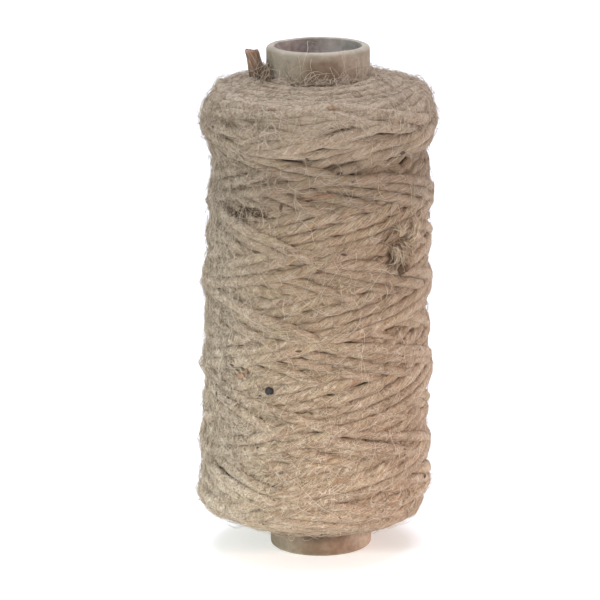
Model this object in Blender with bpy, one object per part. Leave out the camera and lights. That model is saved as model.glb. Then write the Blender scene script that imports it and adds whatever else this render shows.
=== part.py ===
"""A roll of jute twine on a cardboard tube, standing on the tube's end.

Metres, +Z up. The origin is the middle of the tube's lower end. Angles run about the tube's axis,
0 at the front (-Y), and grow towards +X. The twine is cross-wound: it climbs round the roll in
bands of a few turns, comes back down over them, and so leaves two sets of raised bands that cross.
"""

import math
from collections import namedtuple

import bmesh
import bpy

PIECE_GAP = 0.0003

TUBE_HEIGHT = 0.150
TUBE_OUTER_RADIUS = 0.0150
TUBE_BORE_RADIUS = 0.0127
TUBE_EDGE_ROUNDING = 0.0006
TUBE_EDGE_STEPS = 3
TUBE_SIDES = 64

TWINE_DIAMETER = 0.0032
TWINE_SIDES = 10

# The ground that the outermost bands lie on, from the lower end face to the upper one.
Station = namedtuple("Station", "radius height")
WINDING_PROFILE = (
    Station(radius=0.0153, height=0.0075),
    Station(radius=0.0220, height=0.0079),
    Station(radius=0.0280, height=0.0093),
    Station(radius=0.0318, height=0.0120),
    Station(radius=0.0337, height=0.0165),
    Station(radius=0.0332, height=0.0240),
    Station(radius=0.0322, height=0.0400),
    Station(radius=0.0320, height=0.0750),
    Station(radius=0.0322, height=0.1000),
    Station(radius=0.0320, height=0.1140),
    Station(radius=0.0338, height=0.1210),
    Station(radius=0.0346, height=0.1270),
    Station(radius=0.0339, height=0.1325),
    Station(radius=0.0315, height=0.1365),
    Station(radius=0.0275, height=0.1392),
    Station(radius=0.0215, height=0.1408),
    Station(radius=0.0153, height=0.1420),
)
WINDING_SIDES = 72
WINDING_STATIONS = 52
PROFILE_STEPS = 24

# A climbing band rises BAND_RISE in one turn, and the next band starts BAND_SPACING above it.
BAND_RISE = 0.048
BAND_SPACING = 0.024
BAND_WIDTH = 0.014
BAND_LIFT = 0.0014
CLIMBING_BAND_AT_FRONT = 0.0445
FALLING_BAND_AT_FRONT = 0.0480
BANDS_FROM = 0.016
BANDS_TO = 0.124
BAND_FADE = 0.008

# The twine's first end stands up between the tube and the turns.
STARTING_END_ANGLE = math.radians(-84)
STARTING_END_ROOT_RADIUS = 0.0176
STARTING_END_TIP_RADIUS = 0.0196
STARTING_END_TIP_HEIGHT = 0.1490
STARTING_END_STEPS = 4
STARTING_END_CURL = 1.5

# The twine's last end lies on the roll, frayed open. A row is one cross-section of it.
Fray = namedtuple("Fray", "angle_deg height width thickness")
OUTER_END = (
    Fray(angle_deg=36.0, height=0.1015, width=0.0030, thickness=0.0024),
    Fray(angle_deg=40.5, height=0.1000, width=0.0044, thickness=0.0026),
    Fray(angle_deg=45.0, height=0.0975, width=0.0064, thickness=0.0026),
    Fray(angle_deg=48.5, height=0.0942, width=0.0078, thickness=0.0024),
    Fray(angle_deg=51.0, height=0.0905, width=0.0080, thickness=0.0020),
    Fray(angle_deg=53.0, height=0.0868, width=0.0066, thickness=0.0016),
)
OUTER_END_SIDES = 10
OUTER_END_CLEARANCE = 0.0005
FOOTPRINT_STEPS = (-1.0, -0.5, 0.0, 0.5, 1.0)

TUBE_SHARP_DEG = 40
JUTE_SHARP_DEG = 50

CARDBOARD = {"colour": (0.262, 0.205, 0.155), "roughness": 0.9}
JUTE = {"colour": (0.400, 0.300, 0.205), "roughness": 0.95}
JUTE_BARK = {"colour": (0.170, 0.115, 0.080), "roughness": 0.95}


def clear_objects():
    for old in list(bpy.data.objects):
        bpy.data.objects.remove(old, do_unlink=True)


def make_material(name, look):
    material = bpy.data.materials.new(name)
    material.use_nodes = True
    shader = material.node_tree.nodes["Principled BSDF"]
    shader.inputs["Base Color"].default_value = (*look["colour"], 1.0)
    shader.inputs["Roughness"].default_value = look["roughness"]
    shader.inputs["Metallic"].default_value = 0.0
    return material


def on_roll(angle, radius, height):
    """The point at this angle about the tube's axis, 0 at the front."""
    return (radius * math.sin(angle), -radius * math.cos(angle), height)


def add_object(name, rows, material, closed_rows, sharp_angle_deg):
    """One closed body from rows of points. Each row is a ring, and each is bridged to the next.

    With closed_rows the last row is bridged to the first. Otherwise both end rows are capped.
    """
    bm = bmesh.new()
    rings = [[bm.verts.new(point) for point in row] for row in rows]
    count = len(rings[0])
    links = list(zip(rings, rings[1:]))
    if closed_rows:
        links.append((rings[-1], rings[0]))
    for lower, upper in links:
        for i in range(count):
            j = (i + 1) % count
            bm.faces.new((lower[i], lower[j], upper[j], upper[i]))
    if not closed_rows:
        bm.faces.new(rings[0])
        bm.faces.new(rings[-1])
    bmesh.ops.recalc_face_normals(bm, faces=bm.faces)
    mesh = bpy.data.meshes.new(name)
    bm.to_mesh(mesh)
    bm.free()
    mesh.materials.append(material)
    mesh.shade_smooth()
    mesh.set_sharp_from_angle(angle=math.radians(sharp_angle_deg))
    piece = bpy.data.objects.new(name, mesh)
    bpy.context.scene.collection.objects.link(piece)
    return piece


def rounded_corner(radius, height, out, up):
    """A quarter round at a corner of the tube's wall. out and up point away from the wall."""
    centre_radius = radius - out * TUBE_EDGE_ROUNDING
    centre_height = height - up * TUBE_EDGE_ROUNDING
    points = []
    for step in range(TUBE_EDGE_STEPS + 1):
        turn = math.pi / 2 * step / TUBE_EDGE_STEPS
        points.append(
            (
                centre_radius + out * TUBE_EDGE_ROUNDING * math.cos(turn),
                centre_height + up * TUBE_EDGE_ROUNDING * math.sin(turn),
            )
        )
    return points


def build_core_tube():
    """The cardboard tube: a plain open cylinder with both rims worn a little round."""
    section = rounded_corner(TUBE_OUTER_RADIUS, 0.0, 1, -1)[::-1]
    section += rounded_corner(TUBE_OUTER_RADIUS, TUBE_HEIGHT, 1, 1)
    section += rounded_corner(TUBE_BORE_RADIUS, TUBE_HEIGHT, -1, 1)[::-1]
    section += rounded_corner(TUBE_BORE_RADIUS, 0.0, -1, -1)
    rows = []
    for radius, height in section:
        ring = [
            on_roll(2 * math.pi * side / TUBE_SIDES, radius, height)
            for side in range(TUBE_SIDES)
        ]
        rows.append(ring)
    cardboard = make_material("cardboard", CARDBOARD)
    return add_object("core_tube", rows, cardboard, True, TUBE_SHARP_DEG)


def smooth_profile():
    """A Catmull-Rom curve through the winding's stations, as many short steps."""
    first, last = WINDING_PROFILE[0], WINDING_PROFILE[-1]
    knots = (first,) + WINDING_PROFILE + (last,)
    curve = []
    for before, start, end, after in zip(knots, knots[1:], knots[2:], knots[3:]):
        for step in range(PROFILE_STEPS):
            t = step / PROFILE_STEPS
            point = []
            for a, b, c, d in zip(before, start, end, after):
                bend = 2 * a - 5 * b + 4 * c - d
                twist = 3 * b - 3 * c + d - a
                point.append(b + 0.5 * t * (c - a + t * (bend + t * twist)))
            curve.append(Station(*point))
    curve.append(last)
    return curve


def even_stations(curve, count):
    """That many stations along the curve, the same length apart."""
    lengths = [0.0]
    for start, end in zip(curve, curve[1:]):
        lengths.append(lengths[-1] + math.dist(start, end))
    stations = []
    place = 0
    for i in range(count):
        target = lengths[-1] * i / (count - 1)
        while place < len(curve) - 2 and lengths[place + 1] < target:
            place += 1
        share = (target - lengths[place]) / (lengths[place + 1] - lengths[place])
        start, end = curve[place], curve[place + 1]
        stations.append(
            Station(
                radius=start.radius + share * (end.radius - start.radius),
                height=start.height + share * (end.height - start.height),
            )
        )
    return stations


def band_lift(angle, height):
    """How far the two sets of crossing bands stand over the ground at this place."""
    fade_in = min(1.0, max(0.0, (height - BANDS_FROM) / BAND_FADE))
    fade_out = min(1.0, max(0.0, (BANDS_TO - height) / BAND_FADE))
    lift = 0.0
    for hand, at_front in ((1, CLIMBING_BAND_AT_FRONT), (-1, FALLING_BAND_AT_FRONT)):
        centre = at_front + hand * BAND_RISE * angle / (2 * math.pi)
        turns = (height - centre) / BAND_SPACING
        offset = abs(turns - round(turns)) * BAND_SPACING
        if offset < BAND_WIDTH / 2:
            lift += BAND_LIFT * math.cos(math.pi * offset / BAND_WIDTH) ** 2
    return lift * fade_in * fade_out


def build_winding():
    """All the wound twine as one ring with a hole for the tube, its crossing bands raised."""
    rows = []
    for station in even_stations(smooth_profile(), WINDING_STATIONS):
        ring = []
        for side in range(WINDING_SIDES):
            angle = 2 * math.pi * side / WINDING_SIDES
            radius = station.radius + band_lift(angle, station.height)
            ring.append(on_roll(angle, radius, station.height))
        rows.append(ring)
    return add_object("winding", rows, make_material("jute", JUTE), True, JUTE_SHARP_DEG)


def build_starting_end():
    """The cut stub of the twine's first end, leaning out beside the tube."""
    root_height = WINDING_PROFILE[-1].height + PIECE_GAP
    lean = STARTING_END_TIP_RADIUS - STARTING_END_ROOT_RADIUS
    rows = []
    for step in range(STARTING_END_STEPS + 1):
        share = step / STARTING_END_STEPS
        height = root_height + share * (STARTING_END_TIP_HEIGHT - root_height)
        middle = STARTING_END_ROOT_RADIUS + lean * share**STARTING_END_CURL
        x, y, _ = on_roll(STARTING_END_ANGLE, middle, height)
        ring = []
        for side in range(TWINE_SIDES):
            turn = 2 * math.pi * side / TWINE_SIDES
            across = TWINE_DIAMETER / 2 * math.cos(turn)
            along = TWINE_DIAMETER / 2 * math.sin(turn)
            ring.append((x + across, y + along, height))
        rows.append(ring)
    bark = make_material("jute_bark", JUTE_BARK)
    return add_object("starting_end", rows, bark, False, JUTE_SHARP_DEG)


def build_outer_end():
    """The frayed last end, a flat tuft that follows the roll just clear of its bands."""
    side_of_roll = [s for s in smooth_profile() if BANDS_FROM < s.height < BANDS_TO]
    rows = []
    for fray in OUTER_END:
        middle_angle = math.radians(fray.angle_deg)
        ground = min(side_of_roll, key=lambda s: abs(s.height - fray.height)).radius
        half_angle = fray.width / 2 / ground
        highest = max(
            band_lift(middle_angle + half_angle * across, fray.height + fray.width / 2 * up)
            for across in FOOTPRINT_STEPS
            for up in FOOTPRINT_STEPS
        )
        middle_radius = ground + highest + OUTER_END_CLEARANCE + fray.thickness / 2
        ring = []
        for side in range(OUTER_END_SIDES):
            turn = 2 * math.pi * side / OUTER_END_SIDES
            angle = middle_angle + half_angle * math.cos(turn)
            radius = middle_radius + fray.thickness / 2 * math.sin(turn)
            ring.append(on_roll(angle, radius, fray.height))
        rows.append(ring)
    return add_object("outer_end", rows, make_material("jute_frayed", JUTE), False, JUTE_SHARP_DEG)


clear_objects()
build_core_tube()
build_winding()
build_starting_end()
build_outer_end()
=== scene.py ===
import math
from collections import namedtuple

import bpy
import numpy as np
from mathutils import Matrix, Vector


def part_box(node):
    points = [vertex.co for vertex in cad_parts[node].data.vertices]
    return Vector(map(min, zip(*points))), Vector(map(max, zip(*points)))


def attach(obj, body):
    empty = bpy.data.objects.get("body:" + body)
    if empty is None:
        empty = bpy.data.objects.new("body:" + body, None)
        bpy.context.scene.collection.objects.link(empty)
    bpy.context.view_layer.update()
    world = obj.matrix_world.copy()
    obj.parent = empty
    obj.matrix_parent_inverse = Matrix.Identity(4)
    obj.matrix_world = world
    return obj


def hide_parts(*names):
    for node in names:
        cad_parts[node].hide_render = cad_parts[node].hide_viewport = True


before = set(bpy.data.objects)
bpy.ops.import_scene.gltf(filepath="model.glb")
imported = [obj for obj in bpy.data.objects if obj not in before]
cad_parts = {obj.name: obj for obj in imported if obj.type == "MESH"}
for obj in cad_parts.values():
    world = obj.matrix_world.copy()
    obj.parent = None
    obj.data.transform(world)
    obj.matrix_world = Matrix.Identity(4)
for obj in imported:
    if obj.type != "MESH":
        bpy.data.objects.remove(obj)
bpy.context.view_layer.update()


# The cardboard tube
# A short length of spiral-wound grey-brown board that the twine is wound on. Its rims are cut
# square, have gone soft and a little furry with handling, and the wraps of board meet in a seam.

MM = 0.001
tube_low, tube_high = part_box("core_tube")
TUBE_HEIGHT = tube_high[2] - tube_low[2]
TUBE_OUTER_RADIUS = (tube_high[0] - tube_low[0]) / 2
TUBE_WALL = 2.3 * MM
TUBE_BORE_RADIUS = TUBE_OUTER_RADIUS - TUBE_WALL
OUTER_RIM_ROUNDING = 1.1 * MM
INNER_RIM_ROUNDING = 0.45 * MM
TUBE_SIDES = 160
TUBE_SHOWS = 14 * MM
SEAM_WIDTH = 0.5 * MM
SEAM_DEPTH = 0.12 * MM
SEAM_RISE = 40 * MM
SEAM_START = 0.37
SEAM_SLANT = 0.6
WAVE_DEPTH = 0.03 * MM
WAVE_TWIST = 60
SOFT_RIM = 0.5 * MM
RIM_SUNK = 0.10 * MM
ROWS_THAT_SHOW = 22
ROWS_UNDER_TWINE = 6

rng = np.random.default_rng(20)


def new_piece(name, points, faces, material):
    """An object from an array of points and an array of faces."""
    mesh = bpy.data.meshes.new(name)
    count, corners = faces.shape
    mesh.vertices.add(len(points))
    mesh.vertices.foreach_set("co", np.ascontiguousarray(points, np.float32).ravel())
    mesh.loops.add(count * corners)
    mesh.loops.foreach_set("vertex_index", np.ascontiguousarray(faces, np.int32).ravel())
    mesh.polygons.add(count)
    mesh.polygons.foreach_set("loop_start", np.arange(count, dtype=np.int32) * corners)
    mesh.update(calc_edges=True)
    mesh.validate()
    mesh.shade_smooth()
    mesh.materials.append(material)
    piece = bpy.data.objects.new(name, mesh)
    bpy.context.scene.collection.objects.link(piece)
    return piece


def grid_faces(rows, columns, close_rows=False):
    """Quads between rows of points. Each row is a closed ring of that many points."""
    r = np.arange(rows if close_rows else rows - 1)[:, None]
    c = np.arange(columns)[None, :]
    nr, nc = (r + 1) % rows, (c + 1) % columns
    quads = [r * columns + c, r * columns + nc, nr * columns + nc, nr * columns + c]
    return np.stack([np.broadcast_to(q, (len(r), columns)) for q in quads], axis=-1).reshape(-1, 4)


def on_roll(angle, radius, height):
    """Points at these angles about the tube's axis, 0 at the front and growing to the right."""
    return np.stack([radius * np.sin(angle), -radius * np.cos(angle), height], axis=-1)


class Shader:
    """A Principled shader with short ways to add the nodes in front of it."""

    def __init__(self, name, roughness, **plain):
        self.material = bpy.data.materials.new(name)
        self.material.use_nodes = True
        self.nodes = self.material.node_tree.nodes
        self.links = self.material.node_tree.links
        self.principled = self.nodes["Principled BSDF"]
        self.principled.inputs["Roughness"].default_value = roughness
        for socket, value in plain.items():
            self.principled.inputs[socket.replace("_", " ")].default_value = value

    def add(self, kind, inputs=(), **settings):
        node = self.nodes.new(kind)
        for key, value in settings.items():
            setattr(node, key, value)
        for socket, value in dict(inputs).items():
            if isinstance(value, bpy.types.NodeSocket):
                self.links.new(value, node.inputs[socket])
            else:
                node.inputs[socket].default_value = value
        return node

    def stored(self, name, output="Fac"):
        """What give stored on the piece under this name."""
        return self.add("ShaderNodeAttribute", attribute_name=name).outputs[output]

    def own_place(self):
        return self.add("ShaderNodeTexCoord").outputs["Object"]

    def axes(self, vector):
        return self.add("ShaderNodeSeparateXYZ", {"Vector": vector}).outputs

    def noise(self, vector, scale, detail=2.0, roughness=0.5, stretch=None):
        if stretch:
            stretched = self.add("ShaderNodeMapping", {"Vector": vector, "Scale": stretch})
            vector = stretched.outputs["Vector"]
        settings = {"Vector": vector, "Scale": scale, "Detail": detail, "Roughness": roughness}
        return self.add("ShaderNodeTexNoise", settings).outputs["Fac"]

    def threads(self, vector, scale, elsewhere, width):
        """Thin curling lines, broken here and there, as 0 to 1."""
        moved = self.add("ShaderNodeMapping", {"Vector": vector, "Location": (elsewhere,) * 3})
        moved = moved.outputs["Vector"]
        line = self.between(self.apart(self.noise(moved, scale, 0.4), 0.5), 0.0, width, 1.0, 0.0)
        return self.maths("MULTIPLY", line, self.between(self.noise(moved, scale * 0.6), 0.46, 0.54))

    def ramp(self, value, stops):
        node = self.add("ShaderNodeValToRGB", {"Fac": value})
        colours = node.color_ramp.elements
        while len(colours) < len(stops):
            colours.new(0.5)
        for element, (position, colour) in zip(colours, stops):
            element.position = position
            element.color = (*colour, 1.0)
        return node.outputs["Color"]

    def between(self, value, low, high, to_low=0.0, to_high=1.0):
        settings = {"Value": value, "From Min": low, "From Max": high}
        settings |= {"To Min": to_low, "To Max": to_high}
        return self.add("ShaderNodeMapRange", settings).outputs["Result"]

    def maths(self, operation, first, second):
        return self.add("ShaderNodeMath", {0: first, 1: second}, operation=operation).outputs[0]

    def apart(self, value, middle):
        """How far the value is from the middle, either way."""
        return self.maths("ABSOLUTE", self.maths("SUBTRACT", value, middle), 0.0)

    def weighed(self, first, share, second):
        """A share of the first value, and the rest of the second."""
        rest = self.maths("MULTIPLY", second, 1 - share)
        return self.maths("ADD", self.maths("MULTIPLY", first, share), rest)

    def mix(self, factor, first, second, blend="MIX"):
        inputs = {0: factor}
        for socket, value in ((6, first), (7, second)):
            inputs[socket] = value if isinstance(value, bpy.types.NodeSocket) else (*value, 1.0)
        return self.add("ShaderNodeMix", inputs, data_type="RGBA", blend_type=blend).outputs[2]

    def tint(self, factor, colour, times):
        return self.mix(factor, colour, times, "MULTIPLY")

    def colour(self, socket):
        self.links.new(socket, self.principled.inputs["Base Color"])

    def relief(self, height, distance, strength=1.0):
        settings = {"Height": height, "Distance": distance, "Strength": strength}
        bump = self.add("ShaderNodeBump", settings)
        self.links.new(bump.outputs["Normal"], self.principled.inputs["Normal"])


def board_material():
    board = Shader("board", 0.95, Specular_IOR_Level=0.15)
    place = board.stored("board", "Vector")
    clouds = board.noise(place, 95.0, 3.0, 0.55)
    pulp = board.noise(place, 620.0, 4.0, 0.7)
    hue = board.noise(place, 60.0, stretch=(1.0, 1.0, 0.6))
    mottle = board.weighed(clouds, 0.62, pulp)
    brown = board.ramp(
        mottle,
        [(0.34, (0.120, 0.084, 0.060)), (0.50, (0.178, 0.132, 0.098)), (0.66, (0.262, 0.206, 0.160))],
    )
    olive = board.ramp(
        mottle,
        [(0.34, (0.128, 0.112, 0.082)), (0.50, (0.190, 0.168, 0.128)), (0.66, (0.262, 0.238, 0.190))],
    )
    # It is olive on the left and stained brown in the middle, where painted shade darkens it too.
    # Painted light pales its right side. Its top has faded, and its foot is redder.
    where = board.axes(place)
    leftward = board.maths("ADD", board.between(where["X"], -13 * MM, 4 * MM, 1.0, 0.0), hue)
    colour = board.mix(board.between(leftward, 0.45, 1.25), brown, olive)
    faded = board.between(where["Z"], 20 * MM, 140 * MM, 0.0, 0.62)
    colour = board.tint(faded, colour, (2.15, 2.02, 1.98))
    # Brown stain and painted shade in the middle.
    stain_and_painted_shade = board.between(board.apart(where["X"], 1 * MM), 2 * MM, 10 * MM, 0.9, 0.0)
    colour = board.tint(stain_and_painted_shade, colour, (0.77, 0.73, 0.68))
    # Painted light on the right side.
    painted_side_light = board.between(where["X"], 5 * MM, 13 * MM)
    colour = board.tint(painted_side_light, colour, (1.45, 1.62, 1.72))
    foot = board.between(where["Z"], 8 * MM, 20 * MM, 1.0, 0.0)
    colour = board.tint(foot, colour, (1.17, 1.05, 1.0))
    # The bore is pinkish on the left and greener on the right, and paler than the outside.
    pinkish = board.ramp(mottle, [(0.38, (0.345, 0.285, 0.270)), (0.62, (0.790, 0.650, 0.620))])
    greenish = board.ramp(mottle, [(0.38, (0.220, 0.220, 0.195)), (0.62, (0.500, 0.470, 0.430))])
    bore = board.mix(board.between(where["X"], -8 * MM, 9 * MM), pinkish, greenish)
    inside = board.stored("inside")
    colour = board.mix(board.maths("MULTIPLY", inside, 0.9), colour, bore)
    # Its rims have gone pale and furry.
    rim = board.ramp(mottle, [(0.36, (0.275, 0.235, 0.176)), (0.64, (0.465, 0.405, 0.315))])
    rubbed = board.between(where["Z"], 147.0 * MM, 149.2 * MM, 0.0, 0.8)
    rubbed = board.maths("MULTIPLY", rubbed, board.between(inside, 0.0, 1.0, 1.0, 0.0))
    colour = board.mix(rubbed, colour, rim)
    colour = board.mix(board.between(board.stored("worn"), 0.1, 0.8, 0.0, 0.85), colour, rim)
    board.colour(colour)
    board.relief(mottle, 0.16 * MM, 0.6)
    return board.material


def rim_arc(radius, height, out, up, steps=6):
    """A quarter round at a corner of the wall. out and up point away from the wall."""
    turn = np.linspace(0, math.pi / 2, steps)
    rounding = OUTER_RIM_ROUNDING if out > 0 else INNER_RIM_ROUNDING
    radii = radius - out * rounding * (1 - np.cos(turn))
    heights = height - up * rounding * (1 - np.sin(turn))
    return np.stack([radii, heights], axis=-1)


def wall_run(radius, start, end):
    """Points up or down a straight wall, close together near the ends that show."""
    length = abs(end - start)
    near = np.linspace(0, TUBE_SHOWS, ROWS_THAT_SHOW)
    far = np.linspace(TUBE_SHOWS, length - TUBE_SHOWS, ROWS_UNDER_TWINE + 2)
    along = np.concatenate([near, far[1:-1]])
    along = np.concatenate([along, (length - near)[::-1]])[1:-1]
    heights = start + np.sign(end - start) * along
    return np.stack([np.full(len(heights), radius), heights], axis=-1)


tube_section = np.concatenate([
    rim_arc(TUBE_OUTER_RADIUS, 0.0, 1, -1)[::-1],
    wall_run(TUBE_OUTER_RADIUS, OUTER_RIM_ROUNDING, TUBE_HEIGHT - OUTER_RIM_ROUNDING),
    rim_arc(TUBE_OUTER_RADIUS, TUBE_HEIGHT, 1, 1),
    rim_arc(TUBE_BORE_RADIUS, TUBE_HEIGHT, -1, 1)[::-1],
    wall_run(TUBE_BORE_RADIUS, TUBE_HEIGHT - INNER_RIM_ROUNDING, INNER_RIM_ROUNDING),
    rim_arc(TUBE_BORE_RADIUS, 0.0, -1, -1),
])
section_radius = tube_section[:, :1]
section_height = tube_section[:, 1:]
tube_angle = np.arange(TUBE_SIDES)[None, :] / TUBE_SIDES * 2 * math.pi
# The seam climbs round the wall once in SEAM_RISE, a shallow groove outside and inside.
seam_place = (section_height / SEAM_RISE - tube_angle / (2 * math.pi) + SEAM_START) % 1.0
seam_distance = np.minimum(seam_place, 1 - seam_place) * SEAM_RISE * SEAM_SLANT
groove = SEAM_DEPTH * np.exp(-((seam_distance / SEAM_WIDTH) ** 2))
outside = section_radius > (TUBE_OUTER_RADIUS + TUBE_BORE_RADIUS) / 2
twisted = section_height * WAVE_TWIST
waves = sum(
    WAVE_DEPTH / k * np.sin(k * tube_angle + rng.uniform(0, 2 * math.pi) + twisted * k)
    for k in (2, 3, 5, 9)
)
tube_radius = section_radius + np.where(outside, -groove, groove * 0.5) - abs(waves)
to_end = np.minimum(section_height, TUBE_HEIGHT - section_height)
softness = np.exp(-to_end / SOFT_RIM)
chips = sum(
    np.sin(k * tube_angle + rng.uniform(0, 2 * math.pi)) * 0.5**i
    for i, k in enumerate((3, 7, 16, 31))
)
# The upper rim has sunk unevenly. The lower one stands flat.
upper = section_height > TUBE_HEIGHT / 2
tube_height = section_height - np.where(upper, 1, 0) * softness * RIM_SUNK * (1 + 0.5 * chips)
tube_points = on_roll(tube_angle, tube_radius, tube_height).reshape(-1, 3)
tube = new_piece(
    "cardboard_tube",
    tube_points,
    grid_faces(len(tube_section), TUBE_SIDES, close_rows=True),
    board_material(),
)


def give(piece, name, values):
    """Stores a number, or three, for each point of the piece, for its material to read."""
    values = np.asarray(values, np.float32)
    vector = values.ndim == 2
    layer = piece.data.attributes.new(name, "FLOAT_VECTOR" if vector else "FLOAT", "POINT")
    layer.data.foreach_set("vector" if vector else "value", np.ascontiguousarray(values).ravel())


true_height = section_height.repeat(TUBE_SIDES, axis=1).ravel()
give(tube, "board", np.stack([tube_points[:, 0], tube_points[:, 1], true_height], axis=-1))
give(tube, "worn", softness.repeat(TUBE_SIDES, axis=1).ravel())
give(tube, "inside", (~outside).repeat(TUBE_SIDES, axis=1).ravel().astype(float))
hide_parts("core_tube")
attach(tube, "root")


# The wound twine
# One strand of three-ply jute, laid by a winder that runs up and down the turning roll. It goes
# round 5.5 times for each trip up and back, so its turns gather in bands that cross, and the
# turns at both ends lie nearly level. Each turn here rests on the ones laid before it.

STRAND_RADIUS = 1.6 * MM
STRAND_STEP = 1.2 * MM
CELL = 0.5 * MM
CELLS_AROUND = 432
RISE_PER_TURN = 48 * MM
TRIP_TURNS = 5.5
STRAND_SPACING = 3.05 * MM
LOW_TURNING = 6.6 * MM
TOP_TURNING = 144.6 * MM
LOW_STAY_REACH = 13 * MM
TOP_STAY_REACH = 22 * MM
TRIPS = 22
LAST_TURNING_ANGLE = math.radians(13)
SEAT = 0.42
FLATTENED = 0.88
TENSION_RADIUS = 8 * MM
TENSION_STATIONS = 17
SINKS_IN = 0.4
STAYS_IN_LINE = 90.0
SMOOTH_OVER = 11
FINE_STEPS = 400

Station = namedtuple("Station", "radius height")
OUTLINE = (
    Station(radius=15.3 * MM, height=7.5 * MM),
    Station(radius=22.0 * MM, height=7.9 * MM),
    Station(radius=28.0 * MM, height=9.3 * MM),
    Station(radius=32.2 * MM, height=12.3 * MM),
    Station(radius=34.2 * MM, height=16.5 * MM),
    Station(radius=34.6 * MM, height=23.0 * MM),
    Station(radius=34.0 * MM, height=38.0 * MM),
    Station(radius=33.5 * MM, height=75.0 * MM),
    Station(radius=33.2 * MM, height=100.0 * MM),
    Station(radius=32.2 * MM, height=118.0 * MM),
    Station(radius=33.1 * MM, height=122.0 * MM),
    Station(radius=34.6 * MM, height=125.6 * MM),
    Station(radius=34.6 * MM, height=129.0 * MM),
    Station(radius=34.2 * MM, height=132.3 * MM),
    Station(radius=32.9 * MM, height=135.8 * MM),
    Station(radius=29.2 * MM, height=139.0 * MM),
    Station(radius=21.5 * MM, height=140.6 * MM),
    Station(radius=15.3 * MM, height=142.0 * MM),
)


def smooth_curve(stations, steps=24):
    """A Catmull-Rom curve through the stations."""
    p = np.array([stations[0], *stations, stations[-1]])
    u = np.arange(steps)[:, None] / steps
    runs = []
    for a, b, c, d in zip(p, p[1:], p[2:], p[3:]):
        bend = 2 * a - 5 * b + 4 * c - d + u * (3 * b - 3 * c + d - a)
        runs.append(b + 0.5 * u * (c - a + u * bend))
    return np.vstack([*runs, p[-1:]])


curve = smooth_curve(OUTLINE)
curve_length = np.concatenate([[0], np.cumsum(np.hypot(*np.diff(curve, axis=0).T))])
FACE_LENGTH = curve_length[-1]


def unit(vectors):
    return vectors / np.linalg.norm(vectors, axis=-1, keepdims=True)


slope = unit(np.gradient(curve, curve_length, axis=0))
CELLS_UP = int(FACE_LENGTH / CELL) + 1
# A place on the roll is an angle and a length up its outline, which is a height plus this on its side.
SIDE_OFFSET = np.interp(TUBE_HEIGHT / 2, curve[:, 1], curve_length) - TUBE_HEIGHT / 2


def outline_radius(up):
    return np.interp(up, curve_length, curve[:, 0])


# The soft winding isn't quite true to its tube. It leans to the left towards its foot, and the
# front of the foot is drawn up a little.
Lean = namedtuple("Lean", "height aside")
LEANS = (
    Lean(height=8 * MM, aside=-1.2 * MM),
    Lean(height=12 * MM, aside=-3.3 * MM),
    Lean(height=16 * MM, aside=-3.2 * MM),
    Lean(height=20 * MM, aside=-1.9 * MM),
    Lean(height=27 * MM, aside=-1.5 * MM),
    Lean(height=45 * MM, aside=-1.1 * MM),
    Lean(height=85 * MM, aside=-0.4 * MM),
    Lean(height=110 * MM, aside=0.7 * MM),
    Lean(height=132 * MM, aside=0.8 * MM),
    Lean(height=142 * MM, aside=0.2 * MM),
)
DRAWN_UP = 1.1 * MM
DRAWN_UP_BELOW = 26 * MM


def surface(angle, up, over):
    """Points and outward directions at a distance over the outline."""
    radius = np.interp(up, curve_length, curve[:, 0])
    height = np.interp(up, curve_length, curve[:, 1])
    out_r = np.interp(up, curve_length, slope[:, 1])
    out_z = -np.interp(up, curve_length, slope[:, 0])
    size = np.hypot(out_r, out_z)
    out_r, out_z = out_r / size, out_z / size
    point = on_roll(angle, radius + over * out_r, height + over * out_z)
    # It stays true where it touches the tube.
    from_tube = (radius - curve[0, 0]) / (curve[:, 0].max() - curve[0, 0])
    point[..., 0] += from_tube * np.interp(height, *zip(*LEANS))
    low = np.clip(1 - height / DRAWN_UP_BELOW, 0, 1) * np.minimum(1.6 * from_tube, 1)
    point[..., 2] += DRAWN_UP * 1.5 * low * np.maximum(np.cos(angle), 0) ** 2
    return point, on_roll(angle, out_r, out_z)


def smoothed(values, width):
    """A running mean of a row of values, with its two ends held."""
    width = max(1, int(width)) | 1
    half = width // 2
    padded = np.concatenate([[values[0]] * (half + 1), values, [values[-1]] * half])
    total = np.cumsum(padded)
    return (total[width:] - total[:-width]) / width


def wander(count, reach, size):
    """A slow random wobble."""
    raw = smoothed(smoothed(rng.standard_normal(count + 6 * reach), reach), reach)
    raw = raw[3 * reach : 3 * reach + count]
    return size * raw / raw.std()


# How high the pile of turns stands, cell by cell. The end faces start with earlier turns.
cell_up = np.arange(CELLS_UP) * CELL
FACE_START = 10.5 * MM
FACE_WIDTH = 19 * MM
to_edge = np.minimum(cell_up, FACE_LENGTH - cell_up)
rise = np.clip((FACE_WIDTH - to_edge) / (5 * MM) + 0.5, 0, 1)
pile = np.tile(FACE_START * rise * rise * (3 - 2 * rise), (CELLS_AROUND, 1))


def look_up(cells, angle, up):
    """The value of a map of cells at these places."""
    i = angle / (2 * math.pi) * CELLS_AROUND
    j = np.clip(up / CELL, 0, CELLS_UP - 1.001)
    i0 = np.floor(i).astype(int)
    j0 = np.floor(j).astype(int)
    fi, fj = i - i0, j - j0
    i0 %= CELLS_AROUND
    i1 = (i0 + 1) % CELLS_AROUND
    low = cells[i0, j0] * (1 - fi) + cells[i1, j0] * fi
    high = cells[i0, j0 + 1] * (1 - fi) + cells[i1, j0 + 1] * fi
    return low * (1 - fj) + high * fj


ACROSS = np.linspace(-0.9, 0.9, 7) * STRAND_RADIUS
ASIDE = np.linspace(-1.8, 1.8, 9) * MM


def resting_height(angle, up):
    """How high the strand's middle sits if it rests on what is already there."""
    heights = [
        look_up(pile, angle, up + across) + SEAT * math.sqrt(STRAND_RADIUS**2 - across**2)
        for across in ACROSS
    ]
    return np.sort(heights, axis=0)[-2:].mean(axis=0)


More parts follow.
